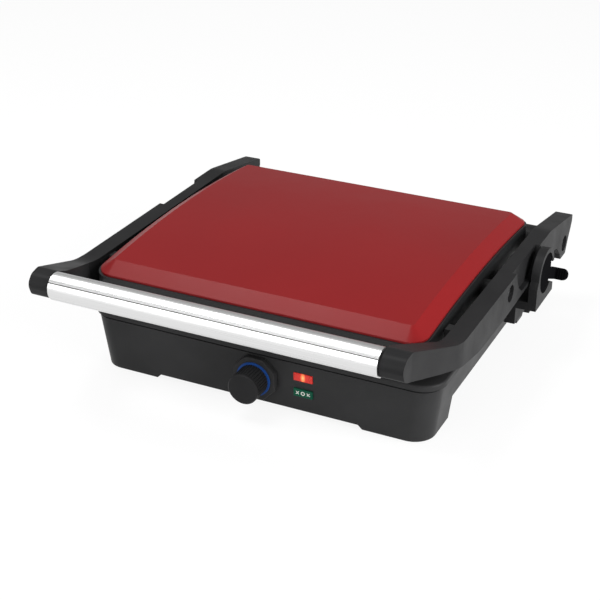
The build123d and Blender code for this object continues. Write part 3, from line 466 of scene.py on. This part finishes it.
def make_handle_bar(materials):
    """Hollow drawn bar with a bowed, grooved front, which stands for the plain bar."""
    low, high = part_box("handle_bar")
    outlines = bar_section(low, high)
    bm = bmesh.new()
    ends = []
    for x in (low[0], high[0]):
        ends.append([[bm.verts.new((x, y, z)) for y, z in outline] for outline in outlines])
    for near, far in (*zip(*ends), *ends):
        join_rings(bm, near, far)
    bmesh.ops.recalc_face_normals(bm, faces=bm.faces)
    for face in bm.faces:
        face.smooth = abs(face.normal.x) < end_facing
    for edge in bm.edges:
        edge.smooth = edge.calc_face_angle(0) < crease_angle
    piece = mesh_piece("handle_bar_shell", bm, "handle_aluminium", materials, "handle_frame")
    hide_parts("handle_bar")
    # A darker line in each groove paints the groove's shade
    for place, _, slot_name in groove_table:
        make_groove_shade(*outlines, round(place * bar_arc_steps), (low[0], high[0]), slot_name, materials)


def make_groove_shade(outer, inner, index, ends, slot_name, materials):
    """Painted shade: dull, darker line that fills most of one groove of the bar, for the shade in the
    groove.
    """
    middle = Vector(outer[index])
    into = (Vector(inner[index]) - middle).normalized()
    sides = [Vector(outer[index + side]) + into * line_recess for side in (-1, 1)]
    section = [sides[0], middle - into * line_crown, sides[1], middle + into * line_recess]
    bm = bmesh.new()
    rings = [[bm.verts.new((x, *point)) for point in section] for x in ends]
    join_rings(bm, *rings)
    for ring in rings:
        bm.faces.new(ring)
    bmesh.ops.recalc_face_normals(bm, faces=bm.faces)
    mesh_piece("bar_groove_shade_" + slot_name, bm, slot_name, materials, "handle_frame")


def add_stroke(bm, middle, length, turn):
    """Thin raised stroke on an upright face, turned in that face."""
    along = Vector((math.cos(turn), 0, math.sin(turn))) * (length / 2)
    across = Vector((-math.sin(turn), 0, math.cos(turn))) * (mark_stroke / 2)
    out = Vector((0, -mark_thickness, 0))
    corners = [along + across, along - across, -along - across, -along + across]
    back = [bm.verts.new(middle + corner) for corner in corners]
    front = [bm.verts.new(middle + corner + out) for corner in corners]
    bm.faces.new(front)
    bm.faces.new(back[::-1])
    join_rings(bm, back, front)


def make_lamp_marks(materials):
    """Three plain marks on the green lens: a cross, a ring of short strokes and a cross."""
    middle = Vector(face_centre("ready_lamp_lens"))
    bm = bmesh.new()
    for side in (-1, 1):
        place = middle + Vector((side * mark_pitch, 0, 0))
        for turn in cross_turns:
            add_stroke(bm, place, 2 * mark_size, turn)
    for index in range(ring_strokes):
        turn = 2 * math.pi * index / ring_strokes
        place = middle + Vector((ring_radius * math.cos(turn), 0, ring_radius * math.sin(turn)))
        add_stroke(bm, place, ring_stroke_length, turn + math.pi / 2)
    bmesh.ops.recalc_face_normals(bm, faces=bm.faces)
    mesh_piece("ready_lamp_marks", bm, "terminal_plastic", materials, "root")


def make_camera():
    """Camera at the photograph's place and angle."""
    data = bpy.data.cameras.new("camera")
    data.lens = camera_lens
    data.sensor_width = sensor_width
    camera = add_object("camera", data)
    camera.location = camera_place
    camera.rotation_euler = (math.pi / 2 - camera_pitch_down, 0, camera_turn)
    bpy.context.scene.camera = camera


def background_switch(nodes, links, ray_kinds):
    """1 for the kinds of ray that should see the plain background, 0 for the rest."""
    path = nodes.new("ShaderNodeLightPath")
    total = path.outputs[ray_kinds[0]]
    for kind in ray_kinds[1:]:
        add = nodes.new("ShaderNodeMath")
        add.use_clamp = True
        links.new(total, add.inputs[0])
        links.new(path.outputs[kind], add.inputs[1])
        total = add.outputs[0]
    return total


def make_world():
    """Surroundings that are white to the camera and light the grill less than they look."""
    world = bpy.data.worlds.new("studio")
    bpy.context.scene.world = world
    world.use_nodes = True
    nodes, links = world.node_tree.nodes, world.node_tree.links
    background = nodes["Background"]
    background.inputs["Color"].default_value = (1, 1, 1, 1)
    strength = nodes.new("ShaderNodeMapRange")
    strength.inputs["To Min"].default_value = background_light
    strength.inputs["To Max"].default_value = background_strength
    switch = background_switch(nodes, links, ("Is Camera Ray", "Is Transmission Ray"))
    links.new(switch, strength.inputs["Value"])
    links.new(strength.outputs["Result"], background.inputs["Strength"])


def make_floor():
    """Pale floor that keeps the shadow: mostly plain white to the camera, diffuse to the rest."""
    bm = bmesh.new()
    signs = ((-1, -1), (1, -1), (1, 1), (-1, 1))
    bm.faces.new([bm.verts.new((x * floor_half_size, y * floor_half_size, floor_level)) for x, y in signs])
    floor = mesh_object("floor", bm)
    material, nodes, links = new_material("floor")
    nodes.remove(nodes["Principled BSDF"])
    output = nodes["Material Output"]
    diffuse = nodes.new("ShaderNodeBsdfDiffuse")
    diffuse.inputs["Color"].default_value = (*grey(floor_grey), 1)
    glow = nodes.new("ShaderNodeEmission")
    glow.inputs["Strength"].default_value = background_strength
    mix = nodes.new("ShaderNodeMixShader")
    share = nodes.new("ShaderNodeMath")
    share.operation = "MULTIPLY"
    share.inputs[1].default_value = floor_background_share
    switch = background_switch(nodes, links, ("Is Camera Ray", "Is Glossy Ray", "Is Transmission Ray"))
    links.new(switch, share.inputs[0])
    links.new(share.outputs[0], mix.inputs["Fac"])
    links.new(diffuse.outputs[0], mix.inputs[1])
    links.new(glow.outputs[0], mix.inputs[2])
    links.new(mix.outputs[0], output.inputs["Surface"])
    set_material(floor, material)


def make_lights():
    """A strong light at the right, one above on the left and a broad weak one in front."""
    for name, place, side, power in light_table:
        data = bpy.data.lights.new(name, "AREA")
        data.size = side
        data.energy = power
        light = add_object(name, data)
        light.location = place
        direction = Vector(light_target) - Vector(place)
        light.rotation_euler = direction.to_track_quat("-Z", "Y").to_euler()


def main():
    """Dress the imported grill."""
    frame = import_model()
    bpy.context.scene.view_settings.view_transform = "Standard"
    make_camera()
    make_world()
    make_floor()
    make_lights()
    materials = make_materials()
    slots = {entry["node"]: entry["material_slot"] for entry in frame["record"]["subparts"]}
    for node, obj in frame["nodes"].items():
        set_material(obj, materials[slots[node]])
    for body, nodes in soft_nodes.items():
        for node in nodes:
            radius = wide_edge_radius if node == "bottom_housing" else edge_radius
            softened(frame, node, body, slots[node], materials, radius, shade_and_darker_looks.get(node))
    make_handle_bar(materials)
    make_lamp_marks(materials)


main()
